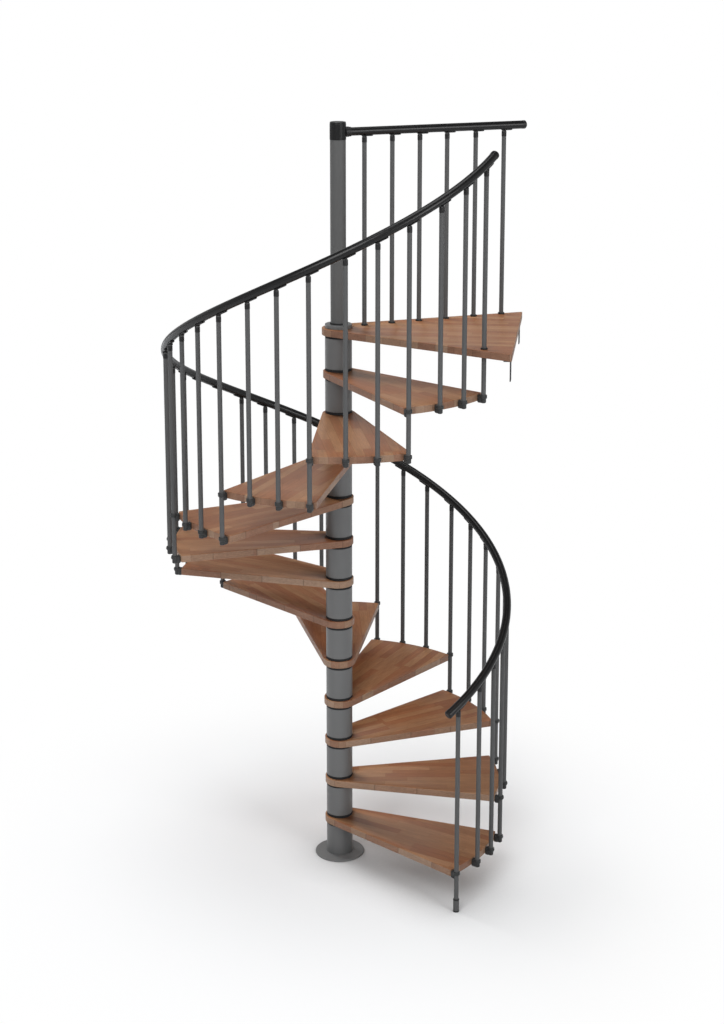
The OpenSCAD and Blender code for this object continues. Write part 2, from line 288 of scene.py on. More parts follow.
def pointed(shape, at, ahead):
    """A shape that points along +z, turned to point ahead and set down at a place."""
    points, quads = shape
    ahead = np.asarray(ahead, float)
    side = np.cross((0, 0, 1), ahead)
    side /= np.linalg.norm(side)
    return points @ np.stack([side, np.cross(ahead, side), ahead]) + at, quads


def inset(outline, depth):
    """An anticlockwise outline drawn in by depth, along the mitre of the two edges at each point."""
    edge = np.roll(outline, -1, 0) - outline
    normal = np.stack([edge[:, 1], -edge[:, 0]], -1) / np.linalg.norm(edge, axis=1, keepdims=True)
    before = np.roll(normal, 1, 0)
    mitre = (normal + before) / (1 + (normal * before).sum(1, keepdims=True))
    return outline - mitre * depth


def edge_steps(radius, low, high, steps=3):
    """(inset, height) pairs up the side of a solid from low to high with quarter-round edges of a
    radius: inset = r (1 - sin t), height = r (1 - cos t) past each face."""
    t = np.linspace(0, math.pi / 2, steps + 1)
    draw, lift = radius * (1 - np.sin(t)), radius * (1 - np.cos(t))
    up = [(2 * radius, low), *zip(draw, low + lift), (0, low + 2 * radius)]
    down = [(d, high + low - z) for d, z in up]
    return up + down[::-1]


def tube(low, high, outer, wall):
    """A tube with broken edges: a closed rectangle of radius and height turned round the axis."""
    inner = outer - wall
    corners = [(outer, low), (outer, high), (inner, high), (inner, low)]
    profile = rounded([(*corner, EDGE_CUT) for corner in corners], 2, closed=True)
    return turned(profile, TUBE_SIDES, loop=True)


def rod(low, high, radius, sides=32):
    """A round bar with broken end edges."""
    core = radius * CORE
    corners = [(core, low, 0), (radius, low, EDGE_BAR), (radius, high, EDGE_BAR), (core, high, 0)]
    return turned(rounded(corners, 2), sides)


def floor_ring(outer, height, inner=BALUSTER_R):
    """A low collar about a tube, well rounded at the top of its outside."""
    top_round = min(0.003, height * 0.45)
    corners = [(inner, 0, 0), (outer, 0, EDGE_FINE), (outer, height, top_round), (inner, height, 0)]
    return turned(rounded(corners, 3, closed=True), 32, loop=True)


# ---- Boards -----------------------------------------------------------------------------------
def board_outline(near, far, reach, shift, straight):
    """Outline of a board, anticlockwise. Its round end is a circle of radius H with its middle m at
    a distance shift from the axis, towards the board. Each side is the tangent to it from an outer
    corner c, and touches at the angle acos(H / |c - m|) from the line m c. The outer edge is an arc
    of radius reach or, if straight, the line between its ends."""
    middle, half = (near + far) / 2, (far - near) / 2
    ahead, aside = reach * math.cos(half) - shift, reach * math.sin(half)
    swing = math.atan2(aside, ahead) + math.acos(HUB_R / math.hypot(ahead, aside))
    hub_turns = np.linspace(middle + swing, middle - swing + TURN, HUB_POINTS)
    hub = polar(HUB_R, hub_turns) + polar(shift, middle)
    turns = np.linspace(near, far, EDGE_POINTS)
    out = reach * math.cos(half) / np.cos(turns - middle) if straight else np.full(EDGE_POINTS, reach)
    outer = polar(out, turns)
    share = np.linspace(0, 1, SIDE_POINTS)[1:-1, None]
    near_side = hub[-1] + (outer[0] - hub[-1]) * share
    far_side = outer[-1] + (hub[0] - outer[-1]) * share
    flat = np.concatenate([near_side, outer, far_side, hub])
    radii = np.zeros(len(flat))
    radii[[len(share), len(share) + EDGE_POINTS - 1]] = BOARD_CORNER
    return rounded(np.column_stack([flat, radii]), 4, closed=True)


def board(outline, high):
    """A board with rounded edges: the outline stacked from its lower face to its upper one, then
    drawn in to the pole's bore, which lies in the same direction from the axis as each point."""
    low = high - TREAD_T
    bore = BORE_R * outline / np.linalg.norm(outline, axis=1, keepdims=True)
    side = [(inset(outline, d), z) for d, z in edge_steps(BOARD_EDGE, low, high)]
    return wrapped(layered([(bore, low), *side, (bore, high)]), loop=True)


def grain_of(points, middle, top, number):
    """Place in the wood for each point: along the board's length, across it and up through it, with
    a shift that gives each board its own staves."""
    c, s = math.cos(middle), math.sin(middle)
    along = c * points[:, 0] + s * points[:, 1] + BOARD_ALONG * number
    across = c * points[:, 1] - s * points[:, 0] + BOARD_ACROSS * number + FIRST_ACROSS
    return np.stack([along, across, points[:, 2] - top], -1)


# ---- Handrail and its saddles -----------------------------------------------------------------
def circle(radius, sides):
    """A flat circle as (x, y) points."""
    return polar(radius, np.arange(sides) * (TURN / sides))


def helix(a):
    """Points of the handrail's line in directions a."""
    return np.column_stack([polar(CIRCLE_R, a), rail_z(a)])


def helix_frame(a):
    """Unit vectors in directions a: outward, upward and square to the helix, and ahead along it."""
    outward = np.stack([np.cos(a), np.sin(a), 0 * a], -1)
    level, rise = math.cos(SLOPE), math.sin(SLOPE)
    ahead = np.stack([-np.sin(a) * level, np.cos(a) * level, 0 * a + rise], -1)
    return outward, np.cross(outward, ahead), ahead


def carried(a, section):
    """A section of (outward, upward) offsets carried along the helix: line + x outward + y upward."""
    outward, upward, _ = helix_frame(a)
    offset = section[..., 0:1] * outward[:, None] + section[..., 1:2] * upward[:, None]
    return helix(a)[:, None] + offset


def saddle_section(thickness):
    """Section of a saddle: an arc about the rail's middle from just under the rail down through the
    thickness, spread to each side of straight down, with its two lower corners drawn in."""
    gap, corner, points = 0.0002, 0.0012, 9
    aside = np.linspace(-SADDLE_SPREAD, SADDLE_SPREAD, points)
    at_corner = np.abs(aside) > 0.9 * SADDLE_SPREAD
    t = aside - math.pi / 2
    under = polar(RAIL_R + thickness - corner * at_corner, t)
    return np.concatenate([under, polar(RAIL_R + gap, t[::-1])])


def saddle_sections():
    """Sections of a saddle from end to end: full thickness, but for a thinner one at each end."""
    thick = np.full(SADDLE_STEPS, SADDLE_T)
    thick[[0, -1]] *= SADDLE_END
    return np.stack([saddle_section(t) for t in thick])


def socket():
    """Socket round the top of a baluster, with a narrower head: a profile turned about the baluster.
    Its zero is at the saddle's lower face, and the head reaches into the saddle."""
    r, shoulder, head, crown = SOCKET_R, 0.005, 0.0045, 0.0055
    corners = [(r * 0.6, -SOCKET_H, 0), (r, -SOCKET_H, EDGE_CUT), (r, -shoulder, EDGE_SOFT),
               (r * 0.72, 0, 0.001), (r * 0.62, head, 0.001), (r * 0.3, crown, 0)]
    return turned(rounded(corners, 2), SMALL_SIDES)


def pin():
    """Pin through the head of a socket: a small barrel with rounded ends that lies along x."""
    core, end = 0.0020, 0.0012
    corners = [(core, -PIN_HALF, 0), (PIN_R, -PIN_HALF, end), (PIN_R, PIN_HALF, end), (core, PIN_HALF, 0)]
    points, quads = turned(rounded(corners, 2), 16)
    return points[:, [2, 1, 0]] * (1, -1, 1), quads


def rail_saddle(i):
    """Saddle, socket and pin of baluster i. The saddle is carried along the helix under the rail."""
    a = baluster_turn(i)
    behind, ahead = SADDLE_BEHIND / CIRCLE_R, SADDLE_AHEAD / CIRCLE_R
    turns = a + np.linspace(-behind, ahead * math.cos(SLOPE), SADDLE_STEPS)
    low = saddle_z(a)
    return [wrapped(carried(turns, saddle_sections())), moved(socket(), a, CIRCLE_R, low),
            moved(pin(), a, CIRCLE_R, low + PIN_LIFT)]


def fence_saddle(j):
    """The same under the level landing rail, with its long end towards the landing's corner. The pin
    lies across the rail here too, so it is turned from x to y."""
    x, low = fence_x(j), FENCE_Z - RAIL_R - SADDLE_T
    section = saddle_sections()
    along = x + np.linspace(-SADDLE_BEHIND, SADDLE_AHEAD, SADDLE_STEPS)
    along = np.broadcast_to(along[:, None, None], section.shape[:2] + (1,))
    pin_points, pin_quads = pin()
    across = pin_points[:, [1, 0, 2]] * (-1, 1, 1), pin_quads
    return [moved(wrapped(np.concatenate([along, section], -1)), FENCE, 0, FENCE_Z),
            moved(socket(), FENCE, x, low), moved(across, FENCE, x, low + PIN_LIFT)]


def rail_tip():
    """Closing cap of a rail, pointing along +z: a lip a little proud of the rail, then a domed end."""
    core, lip, brow, crown = RAIL_R * 0.8, RAIL_R + 0.0006, RAIL_R - 0.0004, RAIL_R - 0.006
    lip_half, brow_drop, soft = 0.006, 0.0045, 0.003
    corners = [(core, -lip_half, 0), (lip, -lip_half, EDGE_MOULD), (lip, lip_half, 0.002),
               (brow, TIP_L - brow_drop, soft), (crown, TIP_L, soft), (RAIL_R * 0.35, TIP_L, 0)]
    return turned(rounded(corners), RAIL_SIDES)


# ---- Clamps and plugs -------------------------------------------------------------------------
def clamp_ring(top, at_end):
    """Ring of a clamp on a board with its top at a height, turned about the baluster. It narrows
    below to a sleeve, which reaches the baluster's end or, where the tube runs on, is a short lip."""
    ring_top = top - RING_DROP
    ring_low = ring_top - RING_H
    foot = top - TREAD_T - SLEEVE_UNDER if at_end else ring_low - 0.0015
    neck, shoulder = ring_low - 0.0005, ring_low + 0.0025
    fine, soft = (0.0006, 0.002) if at_end else (0.0003, 0.001)
    corners = [(BALUSTER_R, foot, 0), (SLEEVE_R, foot, fine), (SLEEVE_R, neck, fine),
               (RING_R, shoulder, soft), (RING_R, ring_top, EDGE_SOFT), (BALUSTER_R, ring_top, 0)]
    return turned(rounded(corners, 2), SMALL_SIDES)


def clamp_block(top):
    """Block of a clamp, from the board's edge to the baluster: a rounded rectangle stacked with
    quarter-round ends."""
    low, high = top - TREAD_T - BLOCK_UNDER, top - BLOCK_DROP
    near, far = TREAD_R - BLOCK_SUNK, CIRCLE_R - BLOCK_SHORT
    corners = [(near, -BLOCK_HALF), (far, -BLOCK_HALF), (far, BLOCK_HALF), (near, BLOCK_HALF)]
    plan = rounded([(*corner, BLOCK_CORNER) for corner in corners], closed=True)
    return wrapped(layered([(inset(plan, d), z) for d, z in edge_steps(BLOCK_DOME, low, high)[1:-1]]))


def clamp_screw(a, top):
    """Head of a clamp's screw: a low button on the outside of the ring, facing away from the axis."""
    core, sunk = 0.0012, 0.0012
    corners = [(core, 0, 0), (SCREW_R, 0, EDGE_CUT), (SCREW_R, SCREW_H, EDGE_CUT), (core, SCREW_H, 0)]
    head = turned(rounded(corners, 2), 16)
    place = np.append(polar(CIRCLE_R + RING_R - sunk, a), top - SCREW_DROP)
    return pointed(head, place, (math.cos(a), math.sin(a), 0))


def clamp(a, top, at_end):
    """Clamp of the baluster in direction a on a board with its top at a height."""
    return [moved(clamp_ring(top, at_end), a, CIRCLE_R), moved(clamp_block(top), a), clamp_screw(a, top)]


def plug():
    """Plug in a baluster's lower end: a shallow dome, radius d sin t and height h (1 - cos t) above
    the plug's lowest point, then a rim that widens to its seat."""
    dome_r, dome_h = 0.0092, 0.0014
    t = np.linspace(0.25, 1, 5) * math.pi / 2
    dome = np.column_stack([dome_r * np.sin(t), -PLUG_H + dome_h * (1 - np.cos(t))])
    rim = [(0.0108, -0.0018), (0.0116, -0.0006), (PLUG_R, 0.0004), (PLUG_R, 0.0012), (0.009, 0.0016)]
    return turned(np.concatenate([dome, rim]), 24)


# ---- Shader nodes -----------------------------------------------------------------------------
def feed(tree, socket_in, value):
    """Links an output to an input, or sets the input's own value."""
    if isinstance(value, bpy.types.NodeSocket):
        tree.links.new(value, socket_in)
    elif value is not None:
        socket_in.default_value = value


def node(tree, kind, inputs=(), **settings):
    """A shader node with its settings, and its inputs fed by name, or in order where they have none."""
    made = tree.nodes.new("ShaderNode" + kind)
    for name, value in settings.items():
        setattr(made, name, value)
    named = inputs.items() if isinstance(inputs, dict) else enumerate(inputs)
    for key, value in named:
        feed(tree, made.inputs[key], value)
    return made


def calc(tree, operation, *values):
    """Output of a maths node."""
    return node(tree, "Math", values, operation=operation).outputs[0]


def mixed(tree, factor, first, second, blend="MIX"):
    """Colour between two others, which may be sockets or (r, g, b, 1)."""
    made = tree.nodes.new("ShaderNodeMix")
    made.data_type, made.blend_type = "RGBA", blend
    feed(tree, made.inputs[0], factor)
    feed(tree, made.inputs[6], first)
    feed(tree, made.inputs[7], second)
    return made.outputs[2]


def scaled(tree, value, old_low, old_high, new_low, new_high, **settings):
    """A value carried from one range onto another, and held at its ends."""
    return node(tree, "MapRange", [value, old_low, old_high, new_low, new_high], **settings).outputs[0]


def ramp(tree, factor, stops):
    """A colour ramp with (place, colour) stops."""
    made = node(tree, "ValToRGB", [factor])
    keys = made.color_ramp.elements
    while len(keys) < len(stops):
        keys.new(0.5)
    for key, (place, colour) in zip(keys, stops):
        key.position, key.color = place, (*colour, 1)
    return made.outputs[0]


def principled(name):
    """A new material with its tree and its Principled shader."""
    material = bpy.data.materials.new(name)
    material.use_nodes = True
    tree = material.node_tree
    return material, tree, tree.nodes["Principled BSDF"]


def relief(tree, shader, height, strength):
    """Fine bumps on a shader from a height."""
    depth = 0.0004
    bump = node(tree, "Bump", {"Strength": strength, "Distance": depth, "Height": height})
    feed(tree, shader.inputs["Normal"], bump.outputs[0])


# ---- Paint, plastic and rubber ----------------------------------------------------------------
def skin_group():
    """Surface shared by paint, plastic and rubber. Puts out Tone, a slow mottle about 1; Roughness, a
    base with its variation; and Height, a fine orange peel or grit whose grain is set by Scale."""
    tree = bpy.data.node_groups.new("moulded_skin", "ShaderNodeTree")
    for name, value in (("Scale", 900.0), ("Roughness", 0.45), ("Variation", 0.06), ("Mottle", 0.06)):
        socket_in = tree.interface.new_socket(name, in_out="INPUT", socket_type="NodeSocketFloat")
        socket_in.default_value = value
    for name in ("Tone", "Roughness", "Height"):
        tree.interface.new_socket(name, in_out="OUTPUT", socket_type="NodeSocketFloat")
    given = tree.nodes.new("NodeGroupInput").outputs
    put = tree.nodes.new("NodeGroupOutput").inputs
    place = node(tree, "TexCoord").outputs["Object"]

    def noise(scale, detail, rough):
        """Noise about 0.5 over the object."""
        inputs = {"Vector": place, "Scale": scale, "Detail": detail, "Roughness": rough}
        return node(tree, "TexNoise", inputs).outputs[0]

    def about(middle, uneven, amount):
        """A middle value, with noise about it times an amount."""
        change = calc(tree, "MULTIPLY", calc(tree, "SUBTRACT", uneven, 0.5), amount)
        return calc(tree, "ADD", middle, change)

    cloud, smear, grit = noise(9.0, 4.0, 0.6), noise(55.0, 5.0, 0.65), noise(given["Scale"], 2.0, 0.5)
    tree.links.new(about(1.0, cloud, given["Mottle"]), put["Tone"])
    tree.links.new(about(given["Roughness"], smear, given["Variation"]), put["Roughness"])
    tree.links.new(grit, put["Height"])
    return tree


skin = skin_group()


def coated(name, colour, rough, scale, bump, variation=0.08, mottle=0.08, gloss=0.3):
    """Paint, plastic or rubber: a colour with the shared skin's mottle, roughness and fine relief.
    scale is the fineness of that relief, and gloss the strength of the mirror reflection."""
    material, tree, shader = principled(name)
    made = node(tree, "Group", node_tree=skin)
    given = {"Scale": scale, "Roughness": rough, "Variation": variation, "Mottle": mottle}
    for key, value in given.items():
        made.inputs[key].default_value = value
    tone = made.outputs["Tone"]
    grey = node(tree, "CombineColor", [tone, tone, tone]).outputs[0]
    feed(tree, shader.inputs["Base Color"], mixed(tree, 1.0, (*colour, 1), grey, "MULTIPLY"))
    feed(tree, shader.inputs["Roughness"], made.outputs["Roughness"])
    shader.inputs["Specular IOR Level"].default_value = gloss
    relief(tree, shader, made.outputs["Height"], bump)
    return material


# Painted light: the flange takes a lighter copy of the column's grey powder coat, which brightens the low
# flat plate.
flange_painted_light_grey = coated("flange_coat_painted_light", (0.165, 0.167, 0.168), rough=0.50, scale=1100.0, bump=0.10)
column_grey = coated("column_powder_coat", (0.112, 0.114, 0.115), rough=0.40, scale=1100.0, bump=0.10,
                     gloss=0.55)
post_grey = coated("post_powder_coat", (0.086, 0.087, 0.087), rough=0.50, scale=1100.0, bump=0.12,
                   gloss=0.35)
baluster_grey = coated("baluster_powder_coat", (0.088, 0.089, 0.090), rough=0.50, scale=1300.0,
                       bump=0.10, gloss=0.15)
rail_black = coated("rail_satin_black", (0.005, 0.005, 0.0053), rough=0.29, scale=700.0, bump=0.04,
                    variation=0.06, gloss=0.34)
clamp_black = coated("fitting_grained_black", (0.027, 0.028, 0.0285), rough=0.44, scale=2200.0,
                     bump=0.22, variation=0.10, gloss=0.35)
socket_black = coated("socket_moulded_black", (0.010, 0.010, 0.0105), rough=0.40, scale=2200.0,
                      bump=0.15, variation=0.10, gloss=0.35)
plug_grey = coated("plug_grained_grey", (0.042, 0.043, 0.044), rough=0.46, scale=2200.0, bump=0.20,
                   variation=0.10)
rubber = coated("ring_rubber_black", (0.016, 0.016, 0.017), rough=0.62, scale=1600.0, bump=0.20,
                variation=0.12, gloss=0.2)
bracket_black = coated("bracket_dark_coat", (0.022, 0.022, 0.023), rough=0.50, scale=1200.0, bump=0.15)
pole_steel = coated("pole_mill_steel", (0.30, 0.30, 0.31), rough=0.40, scale=600.0, bump=0.15,
                    variation=0.15)


# ---- Wood -------------------------------------------------------------------------------------
def grain(tree, place, shift, stretch, detail, rough, bend):
    """Noise drawn out along the wood, and shifted to be different in every block."""
    jump = node(tree, "VectorMath", [shift, (5.0, 5.0, 5.0)], operation="MULTIPLY").outputs[0]
    drawn = node(tree, "VectorMath", [place, stretch], operation="MULTIPLY").outputs[0]
    at = node(tree, "VectorMath", [drawn, jump], operation="ADD").outputs[0]
    inputs = {"Vector": at, "Scale": 1.0, "Detail": detail, "Roughness": rough, "Distortion": bend}
    return node(tree, "TexNoise", inputs).outputs[0]


def seam(tree, value, width):
    """1 within a part of width from a whole number, falling to 0 at the width on either side."""
    part = calc(tree, "FRACT", value)
    off = calc(tree, "MINIMUM", part, calc(tree, "SUBTRACT", 1.0, part))
    return scaled(tree, off, width * 0.4, width, 1.0, 0.0)


def stave_cells(tree, place):
    """Staves, cut into blocks by finger joints, where each stave starts at its own place along. Puts
    out the place across counted in staves, the place along counted in blocks, and each block's own
    tone and shift."""
    axes = node(tree, "SeparateXYZ", [place]).outputs
    across = calc(tree, "DIVIDE", axes[1], STAVE_W)
    stave = calc(tree, "FLOOR", across)
    stave_luck = node(tree, "TexWhiteNoise", {"W": stave}, noise_dimensions="1D").outputs[0]
    stave_start = calc(tree, "MULTIPLY", stave_luck, 9.0)
    along = calc(tree, "ADD", calc(tree, "DIVIDE", axes[0], BLOCK_L), stave_start)
    cell = node(tree, "CombineXYZ", [stave, calc(tree, "FLOOR", along), 0.5]).outputs[0]
    tone, shift = node(tree, "TexWhiteNoise", {"Vector": cell}, noise_dimensions="3D").outputs[:2]
    return across, along, tone, shift


def painted_sheen_sides(tree):
    """Mask of the painted sheen: 1 on a board's sides, falling to 0 on its upper and lower faces."""
    normal = node(tree, "NewGeometry").outputs["Normal"]
    upright = calc(tree, "ABSOLUTE", node(tree, "SeparateXYZ", [normal]).outputs[2])
    return scaled(tree, upright, 0.3, 0.9, 1.0, 0.0)


def stave_wood():
    """Varnished boards of glued staves, worked out in the wood's own directions: x along, y across, z
    through. A block has one tone, a slow figure, fine fibres and pores. The boards' sides get a cooler
    tint than their faces, a painted sheen that stands in for the pale reflection they catch."""
    material, tree, shader = principled("varnished_staves")
    place = node(tree, "Attribute", attribute_name="grain").outputs["Vector"]
    across, along, tone, shift = stave_cells(tree, place)
    base = ramp(tree, tone, ((0.0, (0.270, 0.108, 0.049)),
                             (0.3, (0.312, 0.127, 0.057)),
                             (0.55, (0.333, 0.156, 0.073)),
                             (0.8, (0.360, 0.179, 0.086)),
                             (1.0, (0.393, 0.204, 0.104))))
    figure = grain(tree, place, shift, (5.0, 42.0, 42.0), 3.0, 0.55, 0.4)
    fibre = grain(tree, place, shift, (16.0, 340.0, 340.0), 4.0, 0.6, 0.2)
    pore = grain(tree, place, shift, (70.0, 1500.0, 1500.0), 2.0, 0.5, 0.0)
    light = mixed(tree, figure, (0.78, 0.76, 0.73, 1), (1.24, 1.26, 1.28, 1))
    streaks = ramp(tree, fibre, ((0.3, (0.62, 0.58, 0.55)), (0.7, (1.25, 1.25, 1.25))))
    pores = scaled(tree, pore, 0.30, 0.40, 0.35, 0.0)
    seam_across, seam_along = seam(tree, across, SEAM_W / STAVE_W), seam(tree, along, SEAM_W / BLOCK_L)
    seams = calc(tree, "MAXIMUM", seam_across, seam_along)

    colour = mixed(tree, 1.0, base, light, "MULTIPLY")
    colour = mixed(tree, 0.65, colour, streaks, "MULTIPLY")
    colour = mixed(tree, pores, colour, (0.045, 0.020, 0.010, 1))
    colour = mixed(tree, calc(tree, "MULTIPLY", seams, 0.45), colour, (0.05, 0.022, 0.012, 1))
    # Painted sheen: the sides are tinted cooler, standing in for reflected light.
    colour = mixed(tree, painted_sheen_sides(tree), colour, (0.74, 0.93, 1.25, 1), "MULTIPLY")
    feed(tree, shader.inputs["Base Color"], colour)

    varnish = scaled(tree, fibre, 0.0, 1.0, 0.40, 0.52)
    duller = calc(tree, "MULTIPLY", seams, 0.15)
    feed(tree, shader.inputs["Roughness"], calc(tree, "ADD", varnish, duller))
    shader.inputs["Specular IOR Level"].default_value = 0.40
    raised = calc(tree, "MULTIPLY", fibre, 0.5)
    relief(tree, shader, calc(tree, "SUBTRACT", raised, calc(tree, "ADD", pores, seams)), 0.22)
    return material


wood = stave_wood()


# ---- Pieces -----------------------------------------------------------------------------------
def piece(name, shapes, material, nodes=(), wood_places=None):
    """One object from several surfaces, on the stair's one body, in the given material. It stands for its
    CAD nodes, which it hides. wood_places holds each point's place in the wood."""
    starts = np.cumsum([0] + [len(points) for points, _ in shapes])
    points = np.concatenate([points for points, _ in shapes])
    quads = np.concatenate([quads + start for (_, quads), start in zip(shapes, starts)])
    mesh = bpy.data.meshes.new(name)
    mesh.from_pydata(points, [], quads, shade_flat=False)
    if wood_places is not None:
        kept = mesh.attributes.new("grain", "FLOAT_VECTOR", "POINT")
        kept.data.foreach_set("vector", wood_places.ravel())
    mesh.materials.append(material)
    made = bpy.data.objects.new(name, mesh)
    bpy.context.scene.collection.objects.link(made)
    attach(made, "root")
    if nodes:
        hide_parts(*nodes)
    return made


def make_base():
    """Flange plate, with its rim rounded at the top."""
    core = FLANGE_R * CORE
    plate = [(core, 0, 0), (FLANGE_R, 0, EDGE_CUT), (FLANGE_R, FLANGE_T, EDGE_SOFT), (core, FLANGE_T, 0)]
    piece("flange_plate", [turned(rounded(plate), 128)], flange_painted_light_grey, ["base_flange"])


def make_spacers():
    """Spacer tubes under and between the boards, and a rubber ring wherever a tube meets a board. A
    shallow groove runs round the middle of each ring."""
    under = TREAD_T + GASKET_T  # from a board's top to the tube below it
    base = tube(FLANGE_T, tread_z(1) - under, SPACER_R, SPACER_WALL)
    piece("spacer_tube_base", [base], column_grey, ["base_spacer"])
    tubes = [tube(tread_z(k) + GASKET_T, tread_z(k + 1) - under, SPACER_R, SPACER_WALL)
             for k in range(1, TREADS + 1)]
    piece("spacer_tubes", tubes, column_grey, ["column_spacers"])

    outer, middle, groove = SPACER_R - GASKET_IN, GASKET_T / 2, GASKET_GROOVE
    ring = [(outer, 0, GASKET_EDGE), (outer, middle - groove, 0), (outer - groove, middle, 0),
            (outer, middle + groove, 0), (outer, GASKET_T, GASKET_EDGE),
            (BORE_R, GASKET_T, EDGE_FINE), (BORE_R, 0, EDGE_FINE)]
    ring = turned(rounded(ring, closed=True), TUBE_SIDES, loop=True)
    heights = [z for k in range(1, TREADS + 1) for z in (tread_z(k), tread_z(k) - under)]
    heights.append(LANDING_Z - under)
    rings = [moved(ring, 0, 0, z) for z in heights]
    piece("gasket_ring_set", rings, rubber, ["gasket_rings"])


def make_post():
    """Disc on the landing, the post that stands on it with a soft ring about its foot, and its cap."""
    inner, top = POLE_R - POLE_WALL, LANDING_Z + DISC_T
    disc = [(inner, LANDING_Z, EDGE_FINE), (SPACER_R, LANDING_Z, EDGE_CUT), (SPACER_R, top, EDGE_SOFT),
            (inner, top, EDGE_FINE)]
    disc = turned(rounded(disc, closed=True), TUBE_SIDES, loop=True)
    piece("landing_disc_turned", [disc], column_grey, ["landing_disc"])
    post = tube(top, POST_TOP, POLE_R, POLE_WALL)
    piece("landing_post_tube", [post], post_grey, ["landing_post"])
    seat = floor_ring(POLE_R + SEAT_WALL, SEAT_H, POLE_R - 0.001)
    piece("post_seat_ring", [moved(seat, 0, 0, top)], rubber)

    low, high = POST_TOP, POST_TOP + CAP_H
    line, step, dish = high - CAP_LINE, CAP_R - CAP_STEP, high - CAP_DISH
    cap = [(inner, low, 0), (CAP_R, low, EDGE_MOULD), (CAP_R, line, 0.0003), (step, line + 0.001, 0.0003),
           (step, high, 0.0035), (CAP_R * 0.72, high, EDGE_CUT), (CAP_R * 0.70, dish, EDGE_CUT),
           (CAP_R * 0.3, dish, 0)]
    cap = turned(rounded(cap), TUBE_SIDES)
    piece("post_cap_moulded", [cap], rail_black, ["post_cap"])


def make_boards():
    """Twelve treads and the landing, each from its own outline, with its own place in the wood."""
    for k in range(1, TREADS + 1):
        near, far = START + (k - 1) * PITCH - LEAD, START + k * PITCH + LAP
        shape = board(board_outline(near, far, TREAD_R, HUB_SHIFT, straight=False), tread_z(k))
        places = grain_of(shape[0], (near + far) / 2, tread_z(k), k)
        piece(f"tread_board_{k:02d}", [shape], wood, [f"tread_{k:02d}"], places)
    near, far = LANDING_MID - LANDING_HALF, LANDING_MID + LANDING_HALF
    shape = board(board_outline(near, far, LANDING_R, 0.0, straight=True), LANDING_Z)
    places = grain_of(shape[0], LANDING_MID, LANDING_Z, TREADS + 1)
    piece("landing_board", [shape], wood, ["landing"], places)


def baluster(i):
    """Baluster i, from its lower end up to its saddle."""
    a = baluster_turn(i)
    return moved(rod(baluster_foot_z(i), saddle_z(a), BALUSTER_R), a, CIRCLE_R)


def make_balusters():
    """Balusters of each tread and the corner one of the landing."""
    for k in range(1, TREADS + 1):
        tubes = [baluster(i) for i in range(PER_TREAD * (k - 1), PER_TREAD * k)]
        piece(f"baluster_tubes_{k:02d}", tubes, baluster_grey, [f"balusters_{k:02d}"])
    corner = baluster(PER_TREAD * TREADS)
    piece("corner_baluster_tube", [corner], baluster_grey, ["landing_corner_baluster"])


def make_baluster_foot():
    """Sleeve and pad at the foot of the first baluster. The sleeve reaches a little into the pad."""
    inner, low = BALUSTER_R, FOOT_PAD_T - 0.001
    sleeve = [(inner, low, 0), (FOOT_R, low, EDGE_CUT), (FOOT_R, FOOT_H, 0.0012), (inner, FOOT_H, 0)]
    sleeve = moved(turned(rounded(sleeve, closed=True), FOOT_SIDES, loop=True), START, CIRCLE_R)
    piece("foot_sleeve", [sleeve], baluster_grey, ["baluster_foot"])
    core = 0.006
    pad = [(core, 0, 0), (FOOT_PAD_R, 0, 0.001), (FOOT_PAD_R, FOOT_PAD_T, 0.002), (core, FOOT_PAD_T, 0)]
    pad = moved(turned(rounded(pad), FOOT_SIDES), START, CIRCLE_R)
    piece("foot_pad", [pad], rubber, ["baluster_foot"])


def make_baluster_fittings():
    """Clamps, plugs and floor rings. A tread has a clamp for each baluster from its first corner to
    its second, and all but the first of them end there."""
    clamps = []
    for k in range(1, TREADS + 1):
        first = PER_TREAD * (k - 1)
        for i in range(first, first + PER_TREAD + 1):
            clamps += clamp(baluster_turn(i), tread_z(k), i > first)
    piece("tread_clamps", clamps, clamp_black, ["baluster_clamps"])

    plugs = [moved(plug(), baluster_turn(i), CIRCLE_R, baluster_foot_z(i))
             for i in range(1, PER_TREAD * TREADS + 1)]
    piece("tube_plugs", plugs, plug_grey, ["baluster_plugs"])

    collar = floor_ring(RING_R, FLOOR_RING_H)
    rings = [moved(collar, LAST, CIRCLE_R, LANDING_Z)]
    rings += [moved(collar, FENCE, fence_x(j), LANDING_Z) for j in range(FENCE_COUNT)]
    rings.append(moved(floor_ring(FOOT_PAD_R, FOOT_RING_H), START, CIRCLE_R, FOOT_H))
    piece("baluster_floor_rings", rings, socket_black, ["floor_rings"])


def make_handrail():
    """Helical rail with its two caps, and a saddle, socket and pin on every baluster."""
    first, last = START - RAIL_LEAD, LAST + RAIL_TAIL
    turns = np.linspace(first, last, RAIL_STEPS)
    section = np.broadcast_to(circle(RAIL_R - RAIL_SKIN, RAIL_SIDES), (RAIL_STEPS, RAIL_SIDES, 2))
    piece("helical_rail", [wrapped(carried(turns, section))], rail_black, ["handrail"])
    ends = np.array([first, last])
    ways = helix_frame(ends)[2] * [[-1], [1]]
    tips = [pointed(rail_tip(), place, way) for place, way in zip(helix(ends), ways)]
    piece("helical_rail_caps", tips, rail_black, ["handrail_tips"])
    saddles = [shape for i in range(PER_TREAD * TREADS + 1) for shape in rail_saddle(i)]
    piece("rail_sockets", saddles, socket_black, ["rail_saddles"])


